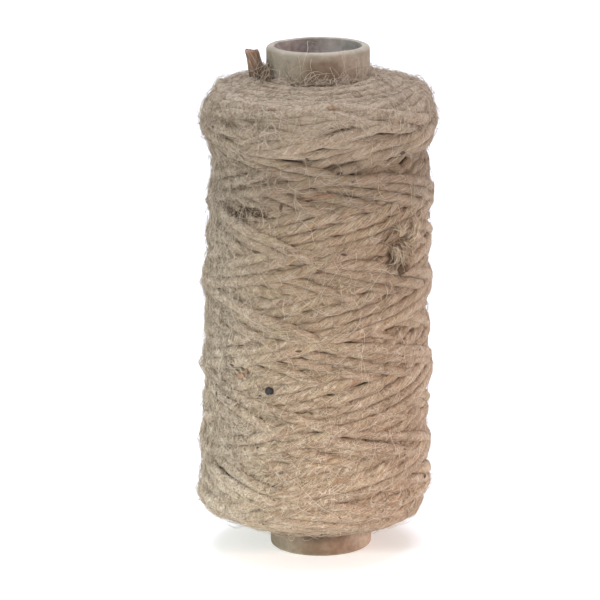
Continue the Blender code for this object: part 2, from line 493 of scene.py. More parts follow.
def raise_to_top(cells, angle, up, height):
    """Raises a map of cells to the top of this stretch of strand."""
    i = np.round(angle / (2 * math.pi) * CELLS_AROUND).astype(int)
    j = np.round(up / CELL).astype(int)
    for di in (-1, 0, 1):
        for dj in range(-4, 5):
            jj = np.clip(j + dj, 0, CELLS_UP - 1)
            away = jj * CELL - up
            hit = abs(away) < STRAND_RADIUS
            top = height + FLATTENED * np.sqrt(np.maximum(0, STRAND_RADIUS**2 - away**2))
            np.maximum.at(cells, ((i[hit] + di) % CELLS_AROUND, jj[hit]), top[hit])


CHUNK = 56
AHEAD = 30
Turns = namedtuple("Turns", "angle up height")
laid = []


def lay(angle, up):
    """Lays a length of strand on the roll, a quarter turn or so at a time."""
    count = len(angle)
    aside = np.zeros(count)
    rest = np.zeros(count)
    height = np.zeros(count)
    start = 0
    while start < count:
        end = min(count, start + CHUNK)
        if count - end < AHEAD:
            end = count
        seen = min(count, end + AHEAD)
        back = max(0, start - AHEAD)
        here = slice(start, seen)
        # It slides sideways into the lowest place near by.
        tried = np.array([
            smoothed(resting_height(angle[here], up[here] + d), SMOOTH_OVER) for d in ASIDE
        ])
        best = ASIDE[np.argmin(tried + STAYS_IN_LINE * ASIDE[:, None] ** 2, axis=0)]
        slid = smoothed(
            smoothed(np.concatenate([aside[back:start], best]), SMOOTH_OVER), SMOOTH_OVER
        )
        aside[here] = slid[start - back :]
        rest[here] = resting_height(angle[here], up[here] + aside[here])
        # Pulled tight, it spans the hollows in a flat arc from one high place to the next.
        span = rest[back:seen]
        tight = span.copy()
        for k in range(1, TENSION_STATIONS + 1):
            drop = (k * STRAND_STEP) ** 2 / (2 * TENSION_RADIUS)
            tight[k:] = np.maximum(tight[k:], span[:-k] - drop)
            tight[:-k] = np.maximum(tight[:-k], span[k:] - drop)
        settled = (1 - SINKS_IN) * tight + SINKS_IN * smoothed(span, 15)
        height[here] = smoothed(settled, 5)[start - back :]
        new = slice(start, end)
        raise_to_top(pile, angle[new], up[new] + aside[new], height[new])
        start = end
    laid.append(Turns(angle, up + aside, height))


def evenly(turns, up_at):
    """The turn numbers, and the places up the outline, every STRAND_STEP along a strand."""
    fine = np.linspace(0, turns, int(turns * FINE_STEPS))
    up = up_at(fine)
    around = np.diff(fine) * 2 * math.pi * outline_radius(up[1:])
    along = np.concatenate([[0], np.cumsum(np.hypot(around, np.diff(up)))])
    number = np.interp(np.arange(0, along[-1], STRAND_STEP), along, fine)
    return number, up_at(number)


# The end faces: flat coils out from the tube and back, on the top and under the bottom.
FACE_TURNS = 7.0
FACE_FIRST = 1.8 * MM
FACE_REACH = 20.5 * MM
FACE_WOBBLE = 0.6 * MM
FACE_WOBBLE_REACH = 130
for top in (False, True):
    for outward in (True, False):
        wobble = wander(int(FACE_TURNS * FINE_STEPS), FACE_WOBBLE_REACH, FACE_WOBBLE)

        def face_up(number):
            share = number / FACE_TURNS if outward else 1 - number / FACE_TURNS
            stray = np.interp(number, np.linspace(0, FACE_TURNS, len(wobble)), wobble)
            inward = np.maximum(FACE_FIRST + share * FACE_REACH + stray, FACE_FIRST)
            return FACE_LENGTH - inward if top else inward

        number, up = evenly(FACE_TURNS, face_up)
        lay(number * 2 * math.pi + rng.uniform(0, 2 * math.pi), up)

# The side: trips up and down, each a strand's width on from the one two trips before.
SIDE_WOBBLE = 0.4 * MM
SIDE_WOBBLE_REACH = 120
EASED_OVER = 120
EASED_AGAIN_OVER = 90
HALF_TRIP = (TRIP_TURNS + STRAND_SPACING / RISE_PER_TURN / 2) / 2
turning_number = np.arange(2 * TRIPS + 2) * HALF_TRIP
at_top = np.arange(len(turning_number)) % 2 == 1
all_turns = turning_number[-1]
fine_number = np.linspace(0, all_turns, int(all_turns * FINE_STEPS))
fine_up = np.interp(fine_number, turning_number, np.where(at_top, TOP_TURNING, LOW_TURNING))
# It stays level for a while at each end, at a height of its own each time.
nearest = np.clip(np.round(fine_number / HALF_TRIP).astype(int), 0, len(at_top) - 1)
share_down = rng.random(len(at_top))
stay = np.where(
    at_top, TOP_TURNING - share_down * TOP_STAY_REACH, LOW_TURNING + share_down * LOW_STAY_REACH
)[nearest]
fine_up = np.where(at_top[nearest], np.minimum(fine_up, stay), np.maximum(fine_up, stay))
fine_up = smoothed(smoothed(fine_up, EASED_OVER), EASED_AGAIN_OVER) + SIDE_OFFSET
fine_up = fine_up + wander(len(fine_up), SIDE_WOBBLE_REACH, SIDE_WOBBLE)
number, up = evenly(all_turns, lambda n: np.interp(n, fine_number, fine_up))
OUTER_END_BEFORE_TURNING = 0.931
kept = number < all_turns - OUTER_END_BEFORE_TURNING
lay(number[kept] * 2 * math.pi + LAST_TURNING_ANGLE - all_turns * 2 * math.pi, up[kept])

# The pile is soft, so the turns press it nearly flat: the highest stand RELIEF over the mean
# height and the lowest as much under it. The mean lies OUTLINE_DROP under the outline.
RELIEF = 1.45 * MM
RELIEF_FROM = 3.4 * MM
OUTLINE_DROP = 0.75 * MM
LEVEL_OVER = 19
level = smoothed(smoothed(pile.mean(axis=0), LEVEL_OVER), LEVEL_OVER)


def over_outline(turns):
    """How far the strand's middle stands over the outline, station by station."""
    top = turns.height + FLATTENED * STRAND_RADIUS - np.interp(turns.up, cell_up, level)
    return RELIEF * np.tanh(top / RELIEF_FROM) - OUTLINE_DROP - FLATTENED * STRAND_RADIUS


DEEPEST = 4 * MM
skin = np.full(pile.shape, -DEEPEST)
for turns in laid:
    raise_to_top(skin, turns.angle, turns.up, over_outline(turns))


# Three plies twist about each other, up to the right on a level strand.
LAY_LENGTH = 21 * MM
STRAND_SIDES = 12
STRAND_WIDER = 1.06
STRAND_FLATTER = 0.92
PLIES = 3
PLY_GROOVE = 0.12
MOST_RINGS = 8000
HIDDEN_BELOW = 0.35 * MM

WARM = (1.0, 0.86, 0.70, 1.0)
PALE_HAIR = (0.62, 0.54, 0.43)
PAINTED_THREAD_SHADOW = (0.115, 0.074, 0.046)
Threads = namedtuple("Threads", "scale elsewhere width colour strength")
# The dark lines are painted shadows of threads, and the pale lines are the threads.
THREADS = (
    Threads(scale=360, elsewhere=1.7, width=0.022, colour=PAINTED_THREAD_SHADOW, strength=0.55),
    Threads(scale=520, elsewhere=5.3, width=0.028, colour=PAINTED_THREAD_SHADOW, strength=0.55),
    Threads(scale=320, elsewhere=9.1, width=0.013, colour=PALE_HAIR, strength=0.55),
    Threads(scale=450, elsewhere=13.7, width=0.019, colour=PALE_HAIR, strength=0.55),
    Threads(scale=620, elsewhere=17.9, width=0.027, colour=PALE_HAIR, strength=0.50),
)


def jute_material():
    jute = Shader(
        "jute", 0.95, Specular_IOR_Level=0.08, Sheen_Weight=0.12, Sheen_Roughness=0.5, Sheen_Tint=WARM
    )
    strand = jute.stored("lay", "Vector")
    fibres = jute.noise(strand, 3.4, 5.0, 0.80, stretch=(1.0, 1.0, 0.10))
    locks = jute.noise(strand, 1.15, 2.0, 0.55, stretch=(1.0, 1.0, 0.20))
    shade = jute.weighed(fibres, 0.72, locks)
    colour = jute.ramp(
        shade,
        [
            (0.36, (0.112, 0.073, 0.047)),
            (0.44, (0.248, 0.178, 0.119)),
            (0.52, (0.370, 0.278, 0.189)),
            (0.60, (0.466, 0.366, 0.261)),
            (0.68, (0.566, 0.468, 0.357)),
        ],
    )
    # Some stretches of the twine are greener, pinker or browner.
    greener = jute.noise(strand, 1.0, stretch=(0.30, 0.30, 0.07))
    pinker = jute.noise(strand, 1.3, stretch=(0.45, 0.45, 0.10))
    browner = jute.noise(strand, 1.9, 3.0, 0.6, stretch=(0.60, 0.60, 0.10))
    colour = jute.tint(jute.between(greener, 0.48, 0.64, 0.0, 0.7), colour, (0.95, 0.98, 0.88))
    colour = jute.tint(jute.between(pinker, 0.48, 0.62, 0.0, 0.7), colour, (1.0, 0.92, 0.90))
    colour = jute.tint(jute.between(browner, 0.56, 0.70, 0.0, 0.8), colour, (0.86, 0.66, 0.48))
    tone = jute.stored("tone")
    colour = jute.mix(jute.between(tone, 0.0, 1.0, 0.0, 0.40), colour, (0.23, 0.165, 0.110))
    # Handling has felted the left side, the right edge and the top shoulder, and hidden the plies.
    where = jute.own_place()
    axes = jute.axes(where)
    # The right edge is felted, and paled more with painted sheen where light grazes it.
    felt_and_painted_sheen_right = jute.between(axes["X"], 25 * MM, 32 * MM, 0.0, 0.6)
    felted = jute.maths(
        "MAXIMUM",
        jute.between(axes["X"], -31 * MM, -12 * MM, 0.60, 0.0),
        jute.between(axes["Z"], 116 * MM, 134 * MM, 0.0, 0.55),
    )
    felted = jute.maths("MAXIMUM", felted, felt_and_painted_sheen_right)
    uneven = jute.maths("SUBTRACT", jute.noise(where, 1300.0, 3.0, 0.75), 0.5)
    uneven = jute.maths("MULTIPLY", uneven, jute.between(axes["X"], -26 * MM, -8 * MM, 1.45, 0.6))
    felt = jute.ramp(
        jute.maths("ADD", uneven, 0.5),
        [(0.36, (0.185, 0.142, 0.102)), (0.50, (0.400, 0.326, 0.242)), (0.64, (0.610, 0.530, 0.420))],
    )
    # Painted sheen on the right edge's felt.
    felt = jute.tint(felt_and_painted_sheen_right, felt, (1.12, 1.03, 1.02))
    colour = jute.mix(felted, colour, felt)
    # Specks of dark bark, and thin broken lines of shade where the turns meet.
    specks = jute.noise(strand, 2.3, 2.0, 0.6, stretch=(1.0, 1.0, 0.45))
    colour = jute.mix(jute.between(specks, 0.61, 0.68, 0.0, 0.55), colour, (0.100, 0.062, 0.040))
    breaks = jute.noise(strand, 2.1, 4.0, 0.8, stretch=(1.0, 1.0, 0.7))
    gap = jute.maths("ADD", jute.stored("deep"), jute.between(breaks, 0.36, 0.64, -0.52, 0.46))
    gap_shade = jute.maths(
        "MULTIPLY",
        jute.between(gap, 0.62, 0.90),
        jute.between(axes["Z"], 96 * MM, 130 * MM, 0.92, 0.50),
    )
    colour = jute.mix(gap_shade, colour, (0.062, 0.036, 0.023))
    # Loose threads, and painted shadows of threads, lie thickest on the felted side, and thin
    # out towards the top.
    handled = jute.maths(
        "MULTIPLY",
        jute.between(axes["X"], -32 * MM, -10 * MM, 1.6, 0.95),
        jute.between(axes["Z"], 40 * MM, 118 * MM, 1.3, 0.42),
    )
    for layer in THREADS:
        line = jute.threads(where, layer.scale, layer.elsewhere, layer.width)
        strength = jute.maths("MULTIPLY", handled, layer.strength)
        colour = jute.mix(jute.maths("MULTIPLY", line, strength), colour, layer.colour)
    # The neck under the top shoulder is darker: painted shade under the shoulder's bulge.
    painted_shade_under_shoulder = jute.between(jute.apart(axes["Z"], 114 * MM), 4 * MM, 12 * MM, 1.0, 0.0)
    colour = jute.tint(painted_shade_under_shoulder, colour, (0.86, 0.87, 0.89))
    jute.colour(colour)
    smoother = jute.between(felted, 0.0, 0.7, 1.0, 0.35)
    jute.relief(jute.maths("MULTIPLY", shade, smoother), 0.28 * MM, 1.0)
    return jute.material


jute = jute_material()


def strand_rings(middle, out, radius, sides, twist, groove, sharp, wide, flat):
    """Rings of points round a strand, each a rounded three-lobed section turned by the twist.

    It also gives the corners' angles, and how far each point lies to the side of the strand's
    middle and outwards of it.
    """
    along = unit(np.gradient(middle, axis=0))
    side = unit(np.cross(out, along))
    out = np.cross(along, side)
    corner = np.arange(sides) / sides * 2 * math.pi
    lobe = 1 - groove * (0.5 - 0.5 * np.cos(PLIES * corner)) ** sharp
    turn = corner[None, :] - twist[:, None]
    reach = radius[:, None] * lobe[None, :]
    across = reach * np.cos(turn) * wide
    outward = reach * np.sin(turn) * flat
    offset = across[..., None] * side[:, None, :] + outward[..., None] * out[:, None, :]
    return middle[:, None, :] + offset, corner, across, outward


def place_in_strand(corner, strand_radius, along):
    """The place of each ring's points in the strand, in millimetres, untwisted."""
    place = np.empty((*along.shape, 3))
    place[..., 0] = strand_radius / MM * np.cos(corner)
    place[..., 1] = strand_radius / MM * np.sin(corner)
    place[..., 2] = along
    return place


def showing_runs(turns, over):
    """(first, last) of each stretch of strand that isn't buried."""
    seen = np.zeros(len(turns.up), bool)
    for across in np.linspace(-0.85, 0.85, 5) * STRAND_RADIUS:
        top = over + FLATTENED * math.sqrt(STRAND_RADIUS**2 - across**2)
        seen |= top > look_up(skin, turns.angle, turns.up + across) - HIDDEN_BELOW
    spread_out = np.convolve(seen, np.ones(9), "same") > 0
    edges = np.flatnonzero(np.diff(np.concatenate([[0], spread_out, [0]])))
    return [(a, b) for a, b in zip(edges[::2], edges[1::2]) if b - a > 8]


class Bundle:
    """Gathers closed tubes of points until they make one piece."""

    def __init__(self, sides):
        self.sides = sides
        self.rings = []
        self.facts = {}
        self.count = 0

    def add(self, rings, **facts):
        self.rings.append(rings)
        self.count += len(rings)
        for name, values in facts.items():
            self.facts.setdefault(name, []).append(values)

    def piece(self, name, material):
        faces = []
        first = 0
        for rings in self.rings:
            faces.append(grid_faces(len(rings), self.sides) + first)
            first += len(rings) * self.sides
        quads = np.concatenate(faces)
        # A strand's ends are closed with a fan of quads, each pair of corners to the first.
        caps = []
        first = 0
        for rings in self.rings:
            last = first + (len(rings) - 1) * self.sides
            for k in range(1, self.sides - 2, 2):
                caps.append((first, first + k + 2, first + k + 1, first + k))
                caps.append((last, last + k, last + k + 1, last + k + 2))
            first += len(rings) * self.sides
        points = np.concatenate([rings.reshape(-1, 3) for rings in self.rings])
        piece = new_piece(name, points, np.concatenate([quads, np.array(caps)]), material)
        for fact, values in self.facts.items():
            give(piece, fact, np.concatenate(values))
        return piece


CREASE_FROM = 0.10 * MM
CREASE_FADE = 1.2 * MM


def climb_of(turns):
    """The angle that a strand climbs at, station by station. Level is 0."""
    return np.arctan2(np.gradient(turns.up), np.gradient(turns.angle) * outline_radius(turns.up))


bundles = [Bundle(STRAND_SIDES)]
for turns in laid:
    over = over_outline(turns)
    middle, out = surface(turns.angle, turns.up, over)
    stations = len(turns.up)
    run_length = np.arange(stations) * STRAND_STEP
    twist = run_length / LAY_LENGTH * 2 * math.pi + wander(stations, 60, 0.5)
    thick = STRAND_RADIUS * (1 + wander(stations, 18, 0.05) + wander(stations, 5, 0.03))
    tone = np.clip(0.35 + wander(stations, 90, 0.3), 0, 1)
    rings, corner, across, outward = strand_rings(
        middle, out, thick, STRAND_SIDES, twist, PLY_GROOVE, 1, STRAND_WIDER, STRAND_FLATTER
    )
    along = np.broadcast_to((run_length / MM)[:, None] + rng.uniform(0, 1000), across.shape)
    lay_place = place_in_strand(corner, STRAND_RADIUS, along)
    # A crease is where the skin of the pile stands over this point of the strand.
    climb = climb_of(turns)[:, None]
    radius = outline_radius(turns.up)[:, None]
    beside_angle = turns.angle[:, None] - across * np.sin(climb) / radius
    beside_up = turns.up[:, None] + across * np.cos(climb)
    under = look_up(skin, beside_angle, beside_up) - over[:, None] - outward
    crease = np.clip((under - CREASE_FROM) / CREASE_FADE, 0, 1)
    for first, last in showing_runs(turns, over):
        if bundles[-1].count + last - first > MOST_RINGS:
            bundles.append(Bundle(STRAND_SIDES))
        run = slice(first, last)
        bundles[-1].add(
            rings[run],
            lay=lay_place[run].reshape(-1, 3),
            tone=tone[run].repeat(STRAND_SIDES),
            deep=crease[run].ravel(),
        )

for i, bundle in enumerate(bundles):
    piece = bundle.piece(f"turns_{i + 1}", jute)
    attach(piece, "root")


# The turns underneath
# What shows in the gaps is more of the same strand, pressed flat by the turns over it. It is one
# skin under them that follows their lowest places.

HEART_BELOW = 0.9 * MM
HEART_CELLS = 3
HEART_LEAST = 1.2 * MM
HEART_MOST = 5 * MM
HEART_TONE = 0.7
HEART_SHADE = 0.55
HEART_RADIUS_IN_MM = 33
HOLE_RADIUS = 15.3 * MM


def lowest_near(cells, reach_around, reach_up):
    """The lowest value within reach of each cell."""
    low = cells.copy()
    for shift in range(-reach_around, reach_around + 1):
        low = np.minimum(low, np.roll(cells, shift, axis=0))
    wide = np.pad(low, ((0, 0), (reach_up, reach_up)), mode="edge")
    spans = [wide[:, k : k + low.shape[1]] for k in range(2 * reach_up + 1)]
    return np.min(spans, axis=0)


heart_over = lowest_near(skin, 3, 3) - HEART_BELOW
heart_over = np.clip(heart_over, -HEART_MOST, -HEART_LEAST)[::HEART_CELLS, ::HEART_CELLS]
heart_angle = np.arange(0, CELLS_AROUND, HEART_CELLS)[None, :] / CELLS_AROUND * 2 * math.pi
heart_up = np.clip(cell_up[::HEART_CELLS], HEART_LEAST, FACE_LENGTH - HEART_LEAST)[:, None]
heart_points, _ = surface(
    np.broadcast_to(heart_angle, heart_over.T.shape),
    np.broadcast_to(heart_up, heart_over.T.shape),
    heart_over.T,
)
# Its two ends turn in to the hole that the tube fills.
hole_low, hole_high = heart_points[0].copy(), heart_points[-1].copy()
for hole in (hole_low, hole_high):
    hole[:, :2] *= HOLE_RADIUS / np.linalg.norm(hole[:, :2], axis=1, keepdims=True)
heart_points = np.concatenate([hole_low[None], heart_points, hole_high[None]])
heart_rows, heart_columns = heart_points.shape[:2]
heart = new_piece(
    "turns_underneath",
    heart_points.reshape(-1, 3),
    grid_faces(heart_rows, heart_columns, close_rows=True),
    jute,
)
x, y, z = heart_points.reshape(-1, 3).T
around = np.arctan2(x, -y) * HEART_RADIUS_IN_MM
give(heart, "lay", np.stack([z / MM, np.zeros(len(z)), around], axis=-1))
give(heart, "tone", np.full(len(z), HEART_TONE))
give(heart, "deep", np.full(len(z), HEART_SHADE))
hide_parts("winding")
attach(heart, "root")


# The starting end
# The first end of the twine, left standing between the tube and the turns. It is a stiff piece of
# brown bark jute, three plies of it, cut off square with shears and split a little at the cut.

stub_low, stub_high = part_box("starting_end")
STUB_RADIUS = 1.45 * MM
STUB_SIDES = 36
STUB_GROOVE = 0.26
STUB_STEPS = 26
STUB_LAY_LENGTH = 38 * MM
STUB_ROOT_DEPTH = 4 * MM
STUB_WIDER = 1.3
STUB_ANGLE = math.radians(-84)
SHADED_BELOW = 140.5 * MM
CLEAR_ABOVE = 145 * MM
CUT_LOWER = 0.2 * MM
CUT_SLANT = 0.5 * MM


def bark_material():
    bark = Shader("bark", 0.9, Specular_IOR_Level=0.2)
    fibres = bark.noise(bark.stored("lay", "Vector"), 4.2, 4.0, 0.7, stretch=(1.0, 1.0, 0.08))
    colour = bark.ramp(
        fibres,
        [
            (0.32, (0.120, 0.076, 0.055)),
            (0.46, (0.265, 0.168, 0.115)),
            (0.56, (0.420, 0.275, 0.190)),
            (0.70, (0.580, 0.460, 0.350)),
        ],
    )
    deep = bark.between(bark.stored("deep"), 0.0, 1.0, 0.0, 0.8)
    colour = bark.mix(deep, colour, (0.045, 0.028, 0.022))
    bark.colour(colour)
    bark.relief(fibres, 0.3 * MM, 0.9)
    return bark.material


stub_rng = np.random.default_rng(7)
# It leans away from the tube towards its cut, and thins a little.
stub_share = np.linspace(0, 1, STUB_STEPS)
stub_out = np.interp(stub_share, (0, 0.3, 1), (17.3, 17.6, 19.4)) * MM
stub_height = np.linspace(stub_low[2] - STUB_ROOT_DEPTH, stub_high[2] - CUT_LOWER, STUB_STEPS)
stub_middle = on_roll(np.full(STUB_STEPS, STUB_ANGLE), stub_out, stub_height)
stub_facing = np.tile([0.0, -1.0, 0.0], (STUB_STEPS, 1))
stub_thick = STUB_RADIUS * np.interp(stub_share, (0, 0.35, 0.8, 1), (1.36, 1.26, 1.14, 1.18))
stub_twist = stub_share * (stub_high[2] - stub_low[2]) / STUB_LAY_LENGTH * 2 * math.pi
stub_rings, stub_corner, _, _ = strand_rings(
    stub_middle, stub_facing, stub_thick, STUB_SIDES, stub_twist, STUB_GROOVE, 2, STUB_WIDER, 1.0
)
# Each ply is split a little at the cut, some fibres longer than others.
ragged = stub_rng.uniform(-0.45, 0.25, STUB_SIDES) * MM
slant = CUT_SLANT * np.sin(stub_corner + 0.8)
stub_rings[-1, :, 2] += ragged + slant
stub_rings[-2, :, 2] += 0.5 * (ragged + slant)


def inside_cut(ring, share, lowest, highest):
    """A smaller ring within this one, of fibres cut at uneven heights, in millimetres."""
    inner = ring.mean(axis=0) + (ring - ring.mean(axis=0)) * share
    inner[:, 2] += stub_rng.uniform(lowest, highest, STUB_SIDES) * MM
    return inner


outer_cut = inside_cut(stub_rings[-1], 0.72, -0.2, 0.35)
inner_cut = inside_cut(outer_cut, 0.4, -0.3, 0.15)
stub_rings = np.concatenate([stub_rings, outer_cut[None], inner_cut[None]])
stub_bundle = Bundle(STUB_SIDES)
stub_lay = place_in_strand(stub_corner, STUB_RADIUS, (stub_rings[..., 2] - stub_low[2]) / MM)
stub_deep = np.interp(stub_rings[..., 2], (SHADED_BELOW, CLEAR_ABOVE), (1.0, 0.08))
stub_bundle.add(stub_rings, lay=stub_lay.reshape(-1, 3), deep=stub_deep.ravel())
stub = stub_bundle.piece("starting_end_stub", bark_material())
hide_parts("starting_end")
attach(stub, "root")


# The hair of the jute
# Jute never spins smooth. Stiff ends of its fibres stand out all along the strand, and handling
# mats them over the turns, most of all on the left side and on the two end faces.

HAIR_SIDES = 3
HAIR_EDGE = 0.4 * MM
HAIR_KINK = 0.16
HAIR_SUNK = 0.05 * MM
hair_rng = np.random.default_rng(11)


def hair_material():
    hair = Shader("hair", 0.85, Specular_IOR_Level=0.2, Sheen_Weight=0.15, Sheen_Tint=WARM)
    colour = hair.ramp(
        hair.stored("tone"),
        [
            (0.0, (0.130, 0.080, 0.048)),
            (0.18, (0.270, 0.195, 0.130)),
            (0.55, (0.440, 0.345, 0.250)),
            (1.0, (0.620, 0.530, 0.420)),
        ],
    )
    hair.colour(colour)
    return hair.material


def hair_paths(angle, up, heading, length, curl, count):
    """Where hairs run that start at these places, one row a hair. Heading 0 is round the roll."""
    step = length / (count - 1)
    rows = [(angle, up)]
    for _ in range(count - 1):
        heading = heading + curl * step + hair_rng.normal(0, HAIR_KINK, len(heading))
        angle = angle + step * np.cos(heading) / np.maximum(outline_radius(up), 12 * MM)
        up = np.clip(up + step * np.sin(heading), HAIR_EDGE, FACE_LENGTH - HAIR_EDGE)
        rows.append((angle, up))
    return np.stack([r[0] for r in rows], axis=1), np.stack([r[1] for r in rows], axis=1)


def draped(path_angle, path_up, lift):
    """Points of hairs that lie over the turns, and the way out of the roll at each point."""
    over = look_up(skin, path_angle, path_up)
    for _ in range(3):
        over[:, 1:-1] = np.maximum(over[:, 1:-1], (over[:, 2:] + over[:, :-2]) / 2)
    points, out = surface(path_angle.ravel(), path_up.ravel(), (over + lift).ravel())
    return points.reshape(*over.shape, 3), out.reshape(*over.shape, 3)


def hair_piece(name, points, out, radius, tone, material):
    """Tapered three-sided hairs, as one piece."""
    hairs, count = points.shape[:2]
    along = unit(np.gradient(points, axis=1))
    side = unit(np.cross(out, along))
    out = np.cross(along, side)
    corner = (np.arange(HAIR_SIDES) / HAIR_SIDES * 2 * math.pi)[:, None]
    taper = np.interp(np.linspace(0, 1, count), (0, 0.25, 0.7, 1), (0.8, 1.0, 0.8, 0.3))
    reach = (radius[:, None] * taper)[..., None, None]
    section = np.cos(corner) * side[:, :, None, :] + np.sin(corner) * out[:, :, None, :]
    rings = points[:, :, None, :] + reach * section
    ring = np.arange(count - 1)[:, None] * HAIR_SIDES
    c = np.arange(HAIR_SIDES)[None, :]
    n = (c + 1) % HAIR_SIDES
    low, low_next = ring + c, ring + n
    high, high_next = low + HAIR_SIDES, low_next + HAIR_SIDES
    one = [np.stack([low, low_next, high_next], -1), np.stack([low, high_next, high], -1)]
    last = (count - 1) * HAIR_SIDES
    ends = np.array([(0, 2, 1), (last, last + 1, last + 2)])
    one = np.concatenate([*(f.reshape(-1, 3) for f in one), ends])
    faces = (np.arange(hairs)[:, None, None] * count * HAIR_SIDES + one[None]).reshape(-1, 3)
    piece = new_piece(name, rings.reshape(-1, 3), faces, material)
    give(piece, "tone", tone.repeat(count * HAIR_SIDES))
    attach(piece, "root")
    return piece


hair = hair_material()

# Ends of fibres that lean along their own strand, root in the strand and tip free.
LEANING_HAIRS = 6400
LEANING_POINTS = 4
station_angle = np.concatenate([t.angle for t in laid])
station_up = np.concatenate([t.up for t in laid])
station_over = np.concatenate([over_outline(t) for t in laid])
station_heading = np.concatenate([climb_of(t) for t in laid])
station_top = station_over + FLATTENED * STRAND_RADIUS
on_top = station_top > look_up(skin, station_angle, station_up) - 0.2 * MM
chosen = hair_rng.choice(np.flatnonzero(on_top), LEANING_HAIRS)
both_ways = hair_rng.choice((0.0, math.pi), LEANING_HAIRS)
leaning = hair_paths(
    station_angle[chosen],
    station_up[chosen] + hair_rng.uniform(-1.3, 1.3, LEANING_HAIRS) * MM,
    station_heading[chosen] + both_ways + hair_rng.normal(0, 0.35, LEANING_HAIRS),
    hair_rng.gamma(4.0, 1.1, LEANING_HAIRS) * MM + 1.5 * MM,
    hair_rng.normal(0, 90, LEANING_HAIRS),
    LEANING_POINTS,
)
tip_lift = hair_rng.gamma(1.6, 0.28, LEANING_HAIRS)[:, None] * MM
leaning_lift = tip_lift * np.linspace(0, 1, LEANING_POINTS) ** 1.4 - HAIR_SUNK
points, out = draped(*leaning, leaning_lift)
piece = hair_piece(
    "leaning_hair",
    points,
    out,
    hair_rng.uniform(0.022, 0.050, LEANING_HAIRS) * MM,
    np.clip(hair_rng.normal(0.52, 0.34, LEANING_HAIRS), 0, 1),
    hair,
)

# Short curly hairs that lie on the turns in all directions.
MATTED_HAIRS = 7000
MATTED_POINTS = 6
SOFT_SIDE_SHARE = 0.46
FACE_SHARE = 0.36
kind = hair_rng.random(MATTED_HAIRS)
matted_angle = hair_rng.uniform(-math.pi, math.pi, MATTED_HAIRS)
matted_up = hair_rng.uniform(20 * MM, FACE_LENGTH - 20 * MM, MATTED_HAIRS)
soft_side = kind < SOFT_SIDE_SHARE
matted_angle[soft_side] = hair_rng.normal(math.radians(-66), math.radians(20), soft_side.sum())
faces_too = kind > 1 - FACE_SHARE
face_depth = hair_rng.uniform(0.5, 27, faces_too.sum()) * MM
at_top_face = hair_rng.random(faces_too.sum()) < 0.8
matted_up[faces_too] = np.where(at_top_face, FACE_LENGTH - face_depth, face_depth)
matted = hair_paths(
    matted_angle,
    matted_up,
    hair_rng.uniform(-math.pi, math.pi, MATTED_HAIRS),
    hair_rng.gamma(5.0, 1.0, MATTED_HAIRS) * MM + 1.5 * MM,
    hair_rng.normal(0, 330, MATTED_HAIRS),
    MATTED_POINTS,
)
matted_share = np.linspace(0, 1, MATTED_POINTS)
most_lift = hair_rng.gamma(1.8, 0.30, MATTED_HAIRS) * np.where(faces_too, 1.2, 1.0) * MM
matted_lift = most_lift[:, None] * np.sin(math.pi * matted_share) ** 0.8 - HAIR_SUNK
points, out = draped(*matted, matted_lift)
matted_radius = hair_rng.uniform(0.034, 0.076, MATTED_HAIRS) * MM
matted_tone = np.where(
    hair_rng.random(MATTED_HAIRS) < 0.22,
    hair_rng.uniform(0.0, 0.25, MATTED_HAIRS),
    hair_rng.uniform(0.6, 1.0, MATTED_HAIRS),
)
for i, half in enumerate((slice(None, MATTED_HAIRS // 2), slice(MATTED_HAIRS // 2, None))):
    piece = hair_piece(
        f"matted_hair_{i + 1}", points[half], out[half], matted_radius[half], matted_tone[half], hair
    )

# Long loose hairs, which wave clear of the turns here and there.
LOOSE_HAIRS = 230
LOOSE_POINTS = 12
loose = hair_paths(
    hair_rng.uniform(-math.pi, math.pi, LOOSE_HAIRS),
    hair_rng.uniform(2 * MM, FACE_LENGTH - 2 * MM, LOOSE_HAIRS),
    hair_rng.uniform(-math.pi, math.pi, LOOSE_HAIRS),
    hair_rng.gamma(4.0, 3.0, LOOSE_HAIRS) * MM + 5 * MM,
    hair_rng.normal(0, 130, LOOSE_HAIRS),
    LOOSE_POINTS,
)
loose_share = np.linspace(0, 1, LOOSE_POINTS)
loose_wave = np.sin(math.pi * 0.8 * loose_share) ** 1.2
loose_lift = hair_rng.gamma(2.0, 0.6, LOOSE_HAIRS)[:, None] * MM * loose_wave - HAIR_SUNK
points, out = draped(*loose, loose_lift)
piece = hair_piece(
    "loose_hair",
    points,
    out,
    hair_rng.uniform(0.03, 0.055, LOOSE_HAIRS) * MM,
    np.clip(hair_rng.normal(0.75, 0.15, LOOSE_HAIRS), 0, 1),
    hair,
)


